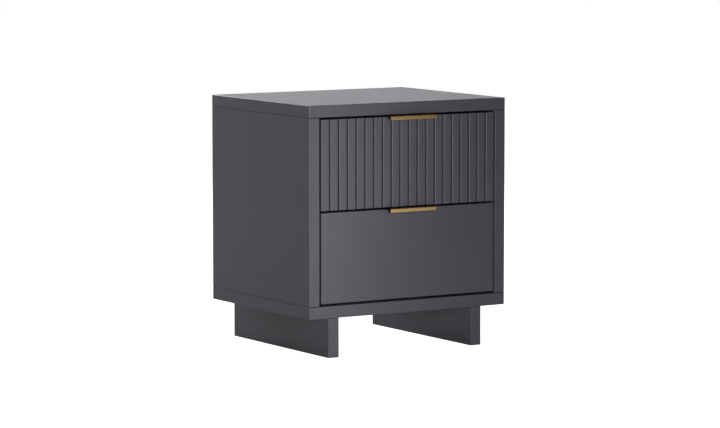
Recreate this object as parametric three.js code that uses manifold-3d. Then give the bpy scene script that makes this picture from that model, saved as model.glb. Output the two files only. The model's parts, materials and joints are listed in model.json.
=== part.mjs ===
// A bedside cabinet on two panel legs, with a fluted upper drawer and a plain lower drawer.
// Millimetres, +Z up, the front faces -Y. The origin is on the floor, under the middle of the overall box.
import * as THREE from "three";
import { mergeVertices } from "three/addons/utils/BufferGeometryUtils.js";
import Module from "manifold-3d";

const wasm = await Module();
wasm.setup();

// Cabinet: a top and a bottom board, with two side boards standing between them.
const WIDTH = 515;
const DEPTH = 432;
const HEIGHT = 560;
const BOARD = 27.5; // thickness of the top, the bottom and the legs
const SIDE_BOARD = 26.5; // thickness of the two sides
const EDGE_CHAMFER = 0.75; // eased edge of every board
const BACK_PANEL = 4; // thickness of the back, let into a rebate all round
const REBATE_WIDTH = 8;
const PANEL_PLAY = 0.5; // room round the back panel and the drawer bottoms

// Legs: two boards on edge under the bottom board.
const LEG_HEIGHT = 90;
const LEG_INSET = 55.75; // from the cabinet's side to the leg's outer face
const LEG_SETBACK = 12; // from the cabinet's front to the leg's front edge

// Drawer fronts, inset flush with the cabinet's front edges.
const FRONT_WIDTH = 453.5;
const FRONT_BOARD = 18;
const FRONT_CHAMFER = 0.5;
const BOTTOM_REVEAL = 5;
const MIDDLE_REVEAL = 4.5;
const TOP_REVEAL = 4.25;

// Flutes: upright grooves in the upper drawer front, with shoulders that roll over into the face.
const FLUTE_COUNT = 19;
const FLUTE_PITCH = 22.75;
const FLUTE_WIDTH = 3.5; // between the groove's straight walls
const FLUTE_DEPTH = 6.5;
const FLUTE_SHOULDER = 1.75; // radius of the shoulders
const SHOULDER_STEPS = 4;

// Room between parts that lie close together without touching.
const CLEARANCE = 0.2;

// Drawer boxes, carried between the slides.
const BOX_HALF_WIDTH = 218;
const BOX_LENGTH = 355;
const BOX_HEIGHT = 150;
const BOX_RISE = 14; // from the front's lower edge to the box's lower edge
const BOX_BOARD = 12;
const BOTTOM_SHEET = 4;
const GROOVE_RISE = 12; // from the box's lower edge to the groove for the bottom
const GROOVE_WIDTH = 4.5;
const GROOVE_DEPTH = 6;

// Handles: brass edge pulls hooked over the top of each drawer front.
const HANDLE_LENGTH = 120;
const HANDLE_PROJECTION = 21;
const HANDLE_PLATE = 2; // thickness of the flange and of the tab behind the front
const HANDLE_GAP = 0.25; // between the brass and the board
const LIP_HEIGHT = 8.25;
const LIP_DEPTH = 7.5;
const TAB_HEIGHT = 18;
const HANDLE_SCREW_SPREAD = 1.5 * FLUTE_PITCH; // from the middle of the handle, between two flutes
const HANDLE_SCREW_DROP = 11; // below the front's top edge

// Ball-bearing slides, three members deep, one pair for each drawer.
const SLIDE_LENGTH = 350;
const SLIDE_SETBACK = 20; // from the cabinet's front to the slide's front end
const SLIDE_RISE = 60; // from the box's lower edge to the slide's middle
const SHEET = 1.2; // steel thickness of the members
const CAGE_LENGTH = 140;
const CAGE_SETBACK = 100; // from the slide's front end to the cage
const BALL_RADIUS = 1.9;
const BALLS_PER_ROW = 4;

// Fasteners.
const CAM_RADIUS = 7.1;
const CAM_BORE_RADIUS = 7.5;
const CAM_BORE_PLAY = 0.4; // between the bottom of the bore and the cam
const CAM_DEPTH = 12.2;
const BOX_CAM_DEPTH = 9.7;
const CAM_SLOT = { halfLength: 5.5, halfWidth: 0.9, depth: 2.5 };
const CAM_INSET = 34; // from the end of a board to the middle of its cam
const BOX_CAM_INSET = 24;
const BOX_CAM_RISE = 118;
const JOINT_INSET = 60; // from the cabinet's front and back to its cams and leg screws
const LEG_SCREW = { length: 50, radius: 3.2, tipRadius: 1.8, headRadius: 4.8, headHeight: 3, socket: 2.3 };
const LEG_SCREW_BORE = { radius: 3.7, mouthRadius: 5.2 };
const HANDLE_SCREW = { length: 16, radius: 1.5, headRadius: 3.4, headHeight: 2.2 };
const HANDLE_HOLE_RADIUS = 2.1;
const PILOT_RADIUS = 1.9;
const PILOT_DEPTH = 14.5;
const SLIDE_HOLE_RADIUS = 2.3;
const PROUD = 1; // how far a cutting tool runs past the face that it starts from

const FRONT_Y = (HANDLE_PROJECTION - DEPTH) / 2;
const BACK_Y = FRONT_Y + DEPTH;
const SIDE_X = WIDTH / 2;
const INNER_X = SIDE_X - SIDE_BOARD;
const FLOOR_Z = LEG_HEIGHT + BOARD;
const CEILING_Z = HEIGHT - BOARD;
const FRONT_REAR_Y = FRONT_Y + FRONT_BOARD;
const FRONT_HEIGHT = (CEILING_Z - FLOOR_Z - BOTTOM_REVEAL - MIDDLE_REVEAL - TOP_REVEAL) / 2;
const LEG_X = SIDE_X - LEG_INSET - BOARD / 2;
const SLIDE_FRONT_Y = FRONT_Y + SLIDE_SETBACK;
const SIDES = { left: -1, right: 1 };
const DRAWERS = {
  lower: FLOOR_Z + BOTTOM_REVEAL,
  upper: FLOOR_Z + BOTTOM_REVEAL + FRONT_HEIGHT + MIDDLE_REVEAL,
};

const lacquer = { color: 0x58575c, roughness: 0.45, metalness: 0 };
const hardboard = { color: 0x4a494d, roughness: 0.7, metalness: 0 };
const brass = { color: 0xb18c50, roughness: 0.35, metalness: 1 };
const zincSteel = { color: 0xa9acb0, roughness: 0.35, metalness: 1 };
const castZinc = { color: 0x8f9295, roughness: 0.5, metalness: 1 };
const blackSteel = { color: 0x2c2c2e, roughness: 0.45, metalness: 0.8 };

// ---- Shapes -------------------------------------------------------------------------------------

function toSolid(geometry) {
  const bare = geometry.clone();
  bare.deleteAttribute("normal");
  bare.deleteAttribute("uv");
  const merged = mergeVertices(bare);
  return new wasm.Manifold(
    new wasm.Mesh({
      numProp: 3,
      vertProperties: merged.attributes.position.array,
      triVerts: new Uint32Array(merged.index.array),
    }),
  );
}

function toGeometry(solid) {
  const mesh = solid.getMesh();
  const geometry = new THREE.BufferGeometry();
  geometry.setAttribute("position", new THREE.BufferAttribute(mesh.vertProperties, 3));
  geometry.setIndex(new THREE.BufferAttribute(mesh.triVerts, 1));
  const faceted = geometry.toNonIndexed();
  faceted.computeVertexNormals();
  return faceted;
}

// The base with every cutter taken away from it.
function cut(base, ...cutters) {
  return toGeometry(cutters.reduce((solid, cutter) => solid.subtract(toSolid(cutter)), toSolid(base)));
}

// The pieces joined into one solid.
function join(base, ...pieces) {
  return toGeometry(pieces.reduce((solid, piece) => solid.add(toSolid(piece)), toSolid(base)));
}

function polygon(points) {
  return new THREE.Shape(points.map(([a, b]) => new THREE.Vector2(a, b)));
}

// A rectangle between two corners, with its corners cut off at 45 degrees.
function easedRectangle([x0, y0], [x1, y1], chamfer) {
  return polygon([
    [x0 + chamfer, y0],
    [x1 - chamfer, y0],
    [x1, y0 + chamfer],
    [x1, y1 - chamfer],
    [x1 - chamfer, y1],
    [x0 + chamfer, y1],
    [x0, y1 - chamfer],
    [x0, y0 + chamfer],
  ]);
}

// An outline in the XY plane raised from z0 to z1, with its two rims eased.
function easedPrism(outline, z0, z1, chamfer) {
  const geometry = new THREE.ExtrudeGeometry(outline, {
    depth: z1 - z0 - 2 * chamfer,
    bevelThickness: chamfer,
    bevelSize: chamfer,
    bevelOffset: -chamfer,
    bevelSegments: 1,
  });
  return geometry.translate(0, 0, z0 + chamfer);
}

// A board between two opposite corners, with every edge eased.
function board(low, high, chamfer = EDGE_CHAMFER) {
  return easedPrism(easedRectangle(low, high, chamfer), low[2], high[2], chamfer);
}

// A sharp-edged block between two opposite corners.
function block(low, high) {
  const [width, depth, height] = high.map((value, axis) => value - low[axis]);
  const [x, y, z] = high.map((value, axis) => (value + low[axis]) / 2);
  return new THREE.BoxGeometry(width, depth, height).translate(x, y, z);
}

// The same two corners with X turned to the left or the right side of the object.
function sided(side, [xa, ya, za], [xb, yb, zb]) {
  return [
    [Math.min(side * xa, side * xb), ya, za],
    [Math.max(side * xa, side * xb), yb, zb],
  ];
}

// An outline given in X and Z, drawn out along Y.
function barAlongY(outline, y0, y1) {
  const geometry = new THREE.ExtrudeGeometry(outline, { depth: y1 - y0, bevelEnabled: false });
  return geometry.translate(0, 0, -y1).rotateX(Math.PI / 2);
}

// An outline given in Y and Z, drawn out along X.
function barAlongX(outline, x0, x1) {
  const geometry = new THREE.ExtrudeGeometry(outline, { depth: x1 - x0, bevelEnabled: false });
  const turn = new THREE.Matrix4().set(0, 0, 1, x0, 1, 0, 0, 0, 0, 1, 0, 0, 0, 0, 0, 1);
  return geometry.applyMatrix4(turn);
}

// A round pin along X from x0 to x1, at y and z.
function pinAlongX(radius, x0, x1, y, z, facets = 16) {
  const pin = new THREE.CylinderGeometry(radius, radius, Math.abs(x1 - x0), facets);
  return pin.rotateZ(Math.PI / 2).translate((x0 + x1) / 2, y, z);
}

// A round pin along Z from z0 to z1, at x and y.
function pinAlongZ(radius, z0, z1, x, y, facets = 12) {
  const pin = new THREE.CylinderGeometry(radius, radius, z1 - z0, facets);
  return pin.rotateX(Math.PI / 2).translate(x, y, (z0 + z1) / 2);
}

// A round pin along Y from y0 to y1, at x and z.
function pinAlongY(radius, y0, y1, x, z, facets = 12) {
  return new THREE.CylinderGeometry(radius, radius, y1 - y0, facets).translate(x, (y0 + y1) / 2, z);
}

// A screw turned about Y with its point at the bottom: [radius, height] pairs from point to head.
function turned(profile, facets = 12) {
  return new THREE.LatheGeometry(
    profile.map(([radius, height]) => new THREE.Vector2(radius, height)),
    facets,
  );
}

// ---- The object ---------------------------------------------------------------------------------

const nightstand = new THREE.Group();

function add(name, geometry, finish) {
  const mesh = new THREE.Mesh(geometry, new THREE.MeshStandardMaterial(finish));
  mesh.name = name;
  nightstand.add(mesh);
}

// The four places of a cam in one side board: near its top and bottom ends, front and rear.
const CAM_PLACES = {
  lower_front: [FRONT_Y + JOINT_INSET, FLOOR_Z + CAM_INSET],
  lower_rear: [BACK_Y - JOINT_INSET, FLOOR_Z + CAM_INSET],
  upper_front: [FRONT_Y + JOINT_INSET, CEILING_Z - CAM_INSET],
  upper_rear: [BACK_Y - JOINT_INSET, CEILING_Z - CAM_INSET],
};

// The step along a board's rear edge that the back panel drops into.
function rebate(z0, z1) {
  const halfWidth = INNER_X + REBATE_WIDTH;
  return block([-halfWidth, BACK_Y - BACK_PANEL, z0], [halfWidth, BACK_Y + PROUD, z1]);
}

// A cast cam lock: a drum lying along X with a cross slot in its outer face.
function camLock(faceX, inward, depth, y, z) {
  const drum = pinAlongX(CAM_RADIUS, faceX, faceX + inward * depth, y, z);
  const { halfLength, halfWidth } = CAM_SLOT;
  const ends = [faceX - inward * PROUD, faceX + inward * CAM_SLOT.depth].sort((a, b) => a - b);
  const upright = block([ends[0], y - halfWidth, z - halfLength], [ends[1], y + halfWidth, z + halfLength]);
  const level = block([ends[0], y - halfLength, z - halfWidth], [ends[1], y + halfLength, z + halfWidth]);
  return cut(drum, upright, level);
}

function addSideBoard(sideName, side) {
  const base = board(...sided(side, [INNER_X, FRONT_Y, FLOOR_Z], [SIDE_X, BACK_Y, CEILING_Z]));
  const faceX = side * (INNER_X + CLEARANCE);
  const boreEnd = side * (INNER_X + CAM_DEPTH + CAM_BORE_PLAY);
  const bores = Object.values(CAM_PLACES).map(([y, z]) =>
    pinAlongX(CAM_BORE_RADIUS, side * (INNER_X - PROUD), boreEnd, y, z),
  );
  add(`${sideName}_side_panel`, cut(base, rebate(FLOOR_Z - PROUD, CEILING_Z + PROUD), ...bores), lacquer);
  for (const [place, [y, z]] of Object.entries(CAM_PLACES))
    add(`${sideName}_cam_lock_${place}`, camLock(faceX, side, CAM_DEPTH, y, z), castZinc);
}

// The places of the leg screws along the leg.
const LEG_SCREWS = {
  front: FRONT_Y + LEG_SETBACK + JOINT_INSET,
  rear: BACK_Y - JOINT_INSET,
};
const LEG_SCREW_HEAD_Z = FLOOR_Z - CLEARANCE;

// The clearance hole of a leg screw: a wide mouth for its head and a long narrow bore.
function legScrewBore(x, y) {
  const mouthZ = LEG_SCREW_HEAD_Z - LEG_SCREW.headHeight - CLEARANCE;
  return join(
    pinAlongZ(LEG_SCREW_BORE.mouthRadius, mouthZ, FLOOR_Z + PROUD, x, y),
    pinAlongZ(LEG_SCREW_BORE.radius, LEG_SCREW_HEAD_Z - LEG_SCREW.length - PROUD, FLOOR_Z, x, y),
  );
}

// A connector screw with a flat head, a hexagonal socket and a plain shank with a blunt point.
function legScrew(x, y) {
  const { length, radius, tipRadius, headRadius, headHeight } = LEG_SCREW;
  const screw = turned([
    [0, -length],
    [tipRadius, -length],
    [radius, -length + headHeight],
    [radius, -headHeight],
    [headRadius, -headHeight],
    [headRadius, 0],
    [0, 0],
  ]);
  screw.rotateX(Math.PI / 2).translate(x, y, LEG_SCREW_HEAD_Z);
  const socket = pinAlongZ(LEG_SCREW.socket, LEG_SCREW_HEAD_Z - headHeight + PROUD, FLOOR_Z + PROUD, x, y, 6);
  return cut(screw, socket);
}

function addLegs(bores) {
  for (const [sideName, side] of Object.entries(SIDES)) {
    const x = side * LEG_X;
    const base = board(
      [x - BOARD / 2, FRONT_Y + LEG_SETBACK, 0],
      [x + BOARD / 2, BACK_Y, LEG_HEIGHT],
    );
    add(`${sideName}_leg_panel`, cut(base, ...bores[sideName]), lacquer);
    for (const [place, y] of Object.entries(LEG_SCREWS))
      add(`${sideName}_leg_screw_${place}`, legScrew(x, y), zincSteel);
  }
}

function addCabinet() {
  const bores = {};
  for (const [sideName, side] of Object.entries(SIDES))
    bores[sideName] = Object.values(LEG_SCREWS).map((y) => legScrewBore(side * LEG_X, y));
  const top = board([-SIDE_X, FRONT_Y, CEILING_Z], [SIDE_X, BACK_Y, HEIGHT]);
  add("top_panel", cut(top, rebate(CEILING_Z - PROUD, CEILING_Z + REBATE_WIDTH)), lacquer);
  const bottom = board([-SIDE_X, FRONT_Y, LEG_HEIGHT], [SIDE_X, BACK_Y, FLOOR_Z]);
  const bottomCuts = [rebate(FLOOR_Z - REBATE_WIDTH, FLOOR_Z + PROUD), ...bores.left, ...bores.right];
  add("bottom_panel", cut(bottom, ...bottomCuts), lacquer);
  addSideBoard("left", SIDES.left);
  addSideBoard("right", SIDES.right);
  const overlap = REBATE_WIDTH - PANEL_PLAY;
  const back = block(
    [-INNER_X - overlap, BACK_Y - BACK_PANEL + CLEARANCE, FLOOR_Z - overlap],
    [INNER_X + overlap, BACK_Y, CEILING_Z + overlap],
  );
  add("back_panel", back, hardboard);
  addLegs(bores);
}

// One side of a groove seen from above, from the face to the bottom. Its side is -1 for left and 1 for right.
function fluteSide(x, side) {
  const wallX = x + (side * FLUTE_WIDTH) / 2;
  const points = [];
  for (let step = 0; step <= SHOULDER_STEPS; step++) {
    const turn = ((step / SHOULDER_STEPS) * Math.PI) / 2;
    const outward = side * FLUTE_SHOULDER * (1 - Math.sin(turn));
    points.push([wallX + outward, FRONT_Y + FLUTE_SHOULDER * (1 - Math.cos(turn))]);
  }
  points.push([wallX, FRONT_Y + FLUTE_DEPTH]);
  return points;
}

// The outline of the fluted front seen from above: a flat rear and evenly spaced grooves in the face.
function flutedOutline() {
  const half = FRONT_WIDTH / 2;
  const points = [
    [half, FRONT_Y + FRONT_CHAMFER],
    [half, FRONT_REAR_Y],
    [-half, FRONT_REAR_Y],
    [-half, FRONT_Y + FRONT_CHAMFER],
    [-half + FRONT_CHAMFER, FRONT_Y],
  ];
  for (let n = 0; n < FLUTE_COUNT; n++) {
    const x = (n - (FLUTE_COUNT - 1) / 2) * FLUTE_PITCH;
    points.push(...fluteSide(x, SIDES.left), ...fluteSide(x, SIDES.right).reverse());
  }
  points.push([half - FRONT_CHAMFER, FRONT_Y]);
  return polygon(points);
}

function plainOutline() {
  const half = FRONT_WIDTH / 2;
  return easedRectangle([-half, FRONT_Y], [half, FRONT_REAR_Y], FRONT_CHAMFER);
}

// The pull's section in Y and Z: a tab behind the front, a flange over its top edge and a square lip.
function handleSection(topZ) {
  const flangeTop = topZ + HANDLE_GAP + HANDLE_PLATE;
  const flangeUnder = topZ + HANDLE_GAP;
  const lipFront = FRONT_Y - HANDLE_PROJECTION;
  const lipRear = lipFront + LIP_DEPTH;
  const lipFoot = flangeTop - LIP_HEIGHT;
  const tabFront = FRONT_REAR_Y + HANDLE_GAP;
  const tabRear = tabFront + HANDLE_PLATE;
  const corner = 1;
  const fillet = 1.5;
  const arcSteps = 3;
  const section = new THREE.Shape();
  section.moveTo(lipFront, lipFoot + corner);
  section.absarc(lipFront + corner, lipFoot + corner, corner, Math.PI, 1.5 * Math.PI);
  section.absarc(lipRear - corner, lipFoot + corner, corner, 1.5 * Math.PI, 2 * Math.PI);
  section.absarc(lipRear + fillet, flangeUnder - fillet, fillet, Math.PI, 0.5 * Math.PI, true);
  section.lineTo(tabFront, flangeUnder);
  section.lineTo(tabFront, topZ - TAB_HEIGHT);
  section.lineTo(tabRear, topZ - TAB_HEIGHT);
  section.absarc(tabRear - corner, flangeTop - corner, corner, 0, 0.5 * Math.PI);
  section.absarc(lipFront + corner, flangeTop - corner, corner, 0.5 * Math.PI, Math.PI);
  return new THREE.Shape(section.getPoints(arcSteps).slice(0, -1));
}

// A pan-head wood screw lying along Y, its head behind the tab and its point in the drawer front.
function handleScrew(x, z) {
  const { length, radius, headRadius, headHeight } = HANDLE_SCREW;
  const headY = FRONT_REAR_Y + 2 * HANDLE_GAP + HANDLE_PLATE;
  const screw = turned([
    [0, -length],
    [radius, -length + 2 * radius],
    [radius, 0],
    [headRadius, 0],
    [0.88 * headRadius, 0.64 * headHeight],
    [0.47 * headRadius, headHeight],
    [0, headHeight],
  ]);
  return screw.translate(x, headY, z);
}

function addHandle(drawer, topZ) {
  const screwZ = topZ - HANDLE_SCREW_DROP;
  const tabEnd = FRONT_REAR_Y + HANDLE_GAP + HANDLE_PLATE + PROUD;
  const bar = barAlongX(handleSection(topZ), -HANDLE_LENGTH / 2, HANDLE_LENGTH / 2);
  const holes = Object.values(SIDES).map((side) =>
    pinAlongY(HANDLE_HOLE_RADIUS, FRONT_REAR_Y, tabEnd, side * HANDLE_SCREW_SPREAD, screwZ),
  );
  add(`${drawer}_handle`, cut(bar, ...holes), brass);
  for (const [sideName, side] of Object.entries(SIDES))
    add(`${drawer}_handle_screw_${sideName}`, handleScrew(side * HANDLE_SCREW_SPREAD, screwZ), zincSteel);
}

function addDrawerFront(drawer, outline, lowZ) {
  const topZ = lowZ + FRONT_HEIGHT;
  const base = easedPrism(outline, lowZ, topZ, FRONT_CHAMFER);
  const grooveZ = lowZ + BOX_RISE + GROOVE_RISE;
  const grooveHalf = BOX_HALF_WIDTH - BOX_BOARD + GROOVE_DEPTH;
  const groove = block(
    [-grooveHalf, FRONT_REAR_Y - GROOVE_DEPTH, grooveZ],
    [grooveHalf, FRONT_REAR_Y + PROUD, grooveZ + GROOVE_WIDTH],
  );
  const pilotEnds = [FRONT_REAR_Y - PILOT_DEPTH, FRONT_REAR_Y + PROUD];
  const pilots = Object.values(SIDES).map((side) =>
    pinAlongY(PILOT_RADIUS, ...pilotEnds, side * HANDLE_SCREW_SPREAD, topZ - HANDLE_SCREW_DROP),
  );
  add(`${drawer}_drawer_front`, cut(base, groove, ...pilots), lacquer);
}

// The box behind the front: two grooved sides, a back that stands on the bottom, and the bottom.
function addDrawerBox(drawer, boxZ) {
  const rearY = FRONT_REAR_Y + BOX_LENGTH;
  const topZ = boxZ + BOX_HEIGHT;
  const innerX = BOX_HALF_WIDTH - BOX_BOARD;
  const grooveZ = boxZ + GROOVE_RISE;
  const camY = FRONT_REAR_Y + BOX_CAM_INSET;
  const camZ = boxZ + BOX_CAM_RISE;
  for (const [sideName, side] of Object.entries(SIDES)) {
    const base = block(...sided(side, [innerX, FRONT_REAR_Y, boxZ], [BOX_HALF_WIDTH, rearY, topZ]));
    const grooveLow = [innerX - PROUD, FRONT_REAR_Y - PROUD, grooveZ];
    const grooveHigh = [innerX + GROOVE_DEPTH, rearY + PROUD, grooveZ + GROOVE_WIDTH];
    const groove = block(...sided(side, grooveLow, grooveHigh));
    const boreEnd = side * (BOX_HALF_WIDTH - BOX_CAM_DEPTH - CAM_BORE_PLAY);
    const bore = pinAlongX(CAM_BORE_RADIUS, side * (BOX_HALF_WIDTH + PROUD), boreEnd, camY, camZ);
    add(`${drawer}_drawer_${sideName}_side`, cut(base, groove, bore), lacquer);
    const camFace = side * (BOX_HALF_WIDTH - CLEARANCE);
    add(`${drawer}_drawer_${sideName}_cam`, camLock(camFace, -side, BOX_CAM_DEPTH, camY, camZ), castZinc);
  }
  const back = block(
    [-innerX + CLEARANCE, rearY - BOX_BOARD, grooveZ + GROOVE_WIDTH],
    [innerX - CLEARANCE, rearY, topZ],
  );
  add(`${drawer}_drawer_back`, back, lacquer);
  const sheetX = innerX + GROOVE_DEPTH - PANEL_PLAY;
  const play = (GROOVE_WIDTH - BOTTOM_SHEET) / 2;
  const sheet = block(
    [-sheetX, FRONT_REAR_Y - GROOVE_DEPTH + PANEL_PLAY, grooveZ + play],
    [sheetX, rearY, grooveZ + play + BOTTOM_SHEET],
  );
  add(`${drawer}_drawer_bottom`, sheet, hardboard);
}

// ---- Slides -------------------------------------------------------------------------------------
// Sections are drawn in u, the distance from the side board, and v, the height from the slide's middle.
// They stand for pressed channels with the balls running between their flanges.

// u0 and u1 are a section's sides, half is its half-height, and lip is the turned-in edge of its flanges.
const CABINET_MEMBER = { u0: 0, u1: 9.6, half: 22.8, lip: 1, holes: [35, 160, 300] };
const MIDDLE_MEMBER = { u0: 3.2, u1: 10.8, half: 17.4, lip: 0.9, holes: [60, 250] };
const DRAWER_MEMBER = { u0: 5.6, u1: 12.6, half: 12, holes: [40, 170, 310] };
const MIDDLE_SETBACK = { front: 4, rear: 6 };
const CAGE_SHEET = 0.6;
const CAGE_LEG = 0.8;

// ballU and ballV are the middles of a cage's balls, halfway between the two flanges that they run on.
const OUTER_CAGE = {
  u0: 1.9,
  u1: 7.8,
  ballU: 5.2,
  ballV: (CABINET_MEMBER.half - SHEET + MIDDLE_MEMBER.half) / 2,
};
const INNER_CAGE = {
  u0: 4.7,
  u1: 9.2,
  ballU: 7.4,
  ballV: (MIDDLE_MEMBER.half - SHEET + DRAWER_MEMBER.half) / 2,
};

// A channel with its web at u0 and its flanges reaching to u1, each with a lip turned inwards.
function channel({ u0, u1, half, lip }) {
  const web = u0 + SHEET;
  const upper = [
    [u0, half],
    [u1, half],
    [u1, half - SHEET - lip],
    [u1 - SHEET, half - SHEET - lip],
    [u1 - SHEET, half - SHEET],
    [web, half - SHEET],
  ];
  return mirrored(upper);
}

// A channel with no lip, its web at u1 and its flanges reaching back to u0.
function openChannel({ u0, u1, half }) {
  return mirrored([
    [u1, half],
    [u0, half],
    [u0, half - SHEET],
    [u1 - SHEET, half - SHEET],
  ]);
}

// The upper half of a section followed by its lower half.
function mirrored(upper) {
  const lower = upper.map(([u, v]) => [u, -v]).reverse();
  return [...upper, ...lower];
}

// The section of a ball cage: a thin web with two legs that the balls sit in.
function cageSection({ u0, u1, ballV }) {
  const half = ballV + CAGE_LEG / 2;
  return mirrored([
    [u0, half],
    [u1, half],
    [u1, half - CAGE_LEG],
    [u0 + CAGE_SHEET, half - CAGE_LEG],
  ]);
}

// A slide section set against the left or the right side board.
function placedSection(section, side, middleZ) {
  const faceX = INNER_X - CLEARANCE;
  return polygon(section.map(([u, v]) => [side * (faceX - u), middleZ + v]));
}

// Screw holes through a member's web, spaced along it.
function webHoles(side, middleZ, fromFront) {
  const x0 = side * (INNER_X + PROUD);
  const x1 = side * (BOX_HALF_WIDTH - PROUD);
  const hole = (distance) => pinAlongX(SLIDE_HOLE_RADIUS, x0, x1, SLIDE_FRONT_Y + distance, middleZ, 8);
  return fromFront.map(hole);
}

function ballCage(cage, side, middleZ) {
  const y0 = SLIDE_FRONT_Y + CAGE_SETBACK;
  const strip = barAlongY(placedSection(cageSection(cage), side, middleZ), y0, y0 + CAGE_LENGTH);
  const pitch = CAGE_LENGTH / BALLS_PER_ROW;
  const x = side * (INNER_X - CLEARANCE - cage.ballU);
  const balls = [];
  for (const z of [middleZ - cage.ballV, middleZ + cage.ballV])
    for (let n = 0; n < BALLS_PER_ROW; n++)
      balls.push(new THREE.IcosahedronGeometry(BALL_RADIUS).translate(x, y0 + (n + 0.5) * pitch, z));
  return join(strip, ...balls);
}

function addSlide(drawer, sideName, side, middleZ) {
  const prefix = `${drawer}_${sideName}`;
  const frontY = SLIDE_FRONT_Y;
  const rearY = SLIDE_FRONT_Y + SLIDE_LENGTH;
  const member = (section, y0, y1, holes) =>
    cut(barAlongY(placedSection(section, side, middleZ), y0, y1), ...webHoles(side, middleZ, holes));
  const outer = member(channel(CABINET_MEMBER), frontY, rearY, CABINET_MEMBER.holes);
  const middleEnds = [frontY + MIDDLE_SETBACK.front, rearY - MIDDLE_SETBACK.rear];
  const middle = member(channel(MIDDLE_MEMBER), ...middleEnds, MIDDLE_MEMBER.holes);
  const inner = member(openChannel(DRAWER_MEMBER), frontY, rearY, DRAWER_MEMBER.holes);
  add(`${prefix}_cabinet_slide`, outer, zincSteel);
  add(`${prefix}_middle_slide`, middle, zincSteel);
  add(`${prefix}_drawer_slide`, inner, zincSteel);
  add(`${prefix}_outer_ball_cage`, ballCage(OUTER_CAGE, side, middleZ), blackSteel);
  add(`${prefix}_inner_ball_cage`, ballCage(INNER_CAGE, side, middleZ), blackSteel);
}

// ---- Assembly -----------------------------------------------------------------------------------

addCabinet();
for (const [drawer, lowZ] of Object.entries(DRAWERS)) {
  const boxZ = lowZ + BOX_RISE;
  addDrawerFront(drawer, drawer === "upper" ? flutedOutline() : plainOutline(), lowZ);
  addDrawerBox(drawer, boxZ);
  addHandle(drawer, lowZ + FRONT_HEIGHT);
  for (const [sideName, side] of Object.entries(SIDES)) addSlide(drawer, sideName, side, boxZ + SLIDE_RISE);
}

export default nightstand;
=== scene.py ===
"""The bedside cabinet's looks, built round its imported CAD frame. Metres, +Z up, the drawer fronts face -Y."""

import json
import math

import bmesh
import bpy
from mathutils import Matrix, Vector


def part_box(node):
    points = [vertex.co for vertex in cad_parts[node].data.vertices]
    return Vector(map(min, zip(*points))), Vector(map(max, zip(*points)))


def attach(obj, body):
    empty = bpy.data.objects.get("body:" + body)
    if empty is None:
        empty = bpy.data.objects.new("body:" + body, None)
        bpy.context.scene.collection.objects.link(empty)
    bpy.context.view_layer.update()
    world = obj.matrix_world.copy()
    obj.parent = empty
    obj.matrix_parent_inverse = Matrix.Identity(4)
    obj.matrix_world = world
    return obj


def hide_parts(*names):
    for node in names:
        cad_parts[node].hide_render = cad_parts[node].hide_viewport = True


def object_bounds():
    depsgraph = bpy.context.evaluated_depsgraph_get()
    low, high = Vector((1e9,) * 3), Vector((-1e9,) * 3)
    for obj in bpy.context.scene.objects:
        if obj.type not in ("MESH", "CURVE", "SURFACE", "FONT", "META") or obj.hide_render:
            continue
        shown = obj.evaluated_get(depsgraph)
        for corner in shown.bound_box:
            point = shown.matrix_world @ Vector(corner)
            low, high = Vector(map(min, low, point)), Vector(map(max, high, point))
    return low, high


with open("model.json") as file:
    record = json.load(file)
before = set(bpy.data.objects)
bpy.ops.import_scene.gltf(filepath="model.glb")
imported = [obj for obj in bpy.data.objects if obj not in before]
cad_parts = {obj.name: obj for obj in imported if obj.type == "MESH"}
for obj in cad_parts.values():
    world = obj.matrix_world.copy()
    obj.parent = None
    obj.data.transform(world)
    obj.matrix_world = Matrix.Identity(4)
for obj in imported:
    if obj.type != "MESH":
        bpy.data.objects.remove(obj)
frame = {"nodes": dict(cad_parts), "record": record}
cad_low, cad_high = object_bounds()

MM = 0.001
SIDES = {"left": -1, "right": 1}
DRAWERS = ("upper", "lower")

# The camera stands in front and to the left, a little above the cabinet, with a long lens.
CAMERA_AZIMUTH = -31.72
CAMERA_ELEVATION = 5.905
CAMERA_DISTANCE = 7.573
CAMERA_LENS = 166.41
CAMERA_SENSOR = 36
CAMERA_RAISE = 0.0117

# Handles: sizes of the section, and the holes for their screws.
LIP_HEIGHT = 8.25 * MM
LIP_DEPTH = 7.5 * MM
HANDLE_PLATE = 2 * MM
HANDLE_HOLE_RADIUS = 2.1 * MM

# Slides: pressed from one sheet. Hole places are distances from a member's front end.
SHEET = 1.2 * MM
CAGE_SHEET = 0.6 * MM
SCREW_HOLES = {"cabinet": (35 * MM, 160 * MM, 300 * MM), "drawer": (40 * MM, 170 * MM, 310 * MM)}
MIDDLE_HOLES = (60 * MM, 250 * MM)
HOLE_RADIUS = 2.3 * MM
SLOT_HALF_LENGTH, SLOT_HALF_HEIGHT = 5 * MM, 2.1 * MM  # the long holes beside the round ones
FLANGE_BEND = 1.6 * MM
SLIDE_SCREW_RADIUS, SLIDE_SCREW_HEAD = 1.9 * MM, 3.8 * MM
BALLS_PER_ROW = 10
BALL_RADIUS = 1.95 * MM
BALL_DEPTH = {"outer": 5.2 * MM, "inner": 7.4 * MM}  # from the slide's back to the middle of its balls

# Looks.
LACQUER_TONES = ((0.0592, 0.0561, 0.0678), (0.0622, 0.0591, 0.0712))
FLOOR_GLOW = 1.0
JOINT_TOLERANCE = 0.8 * MM  # how far the middle of a chamfer may lie from the level of a joint


# ---- Nodes ---------------------------------------------------------------------------------------


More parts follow.
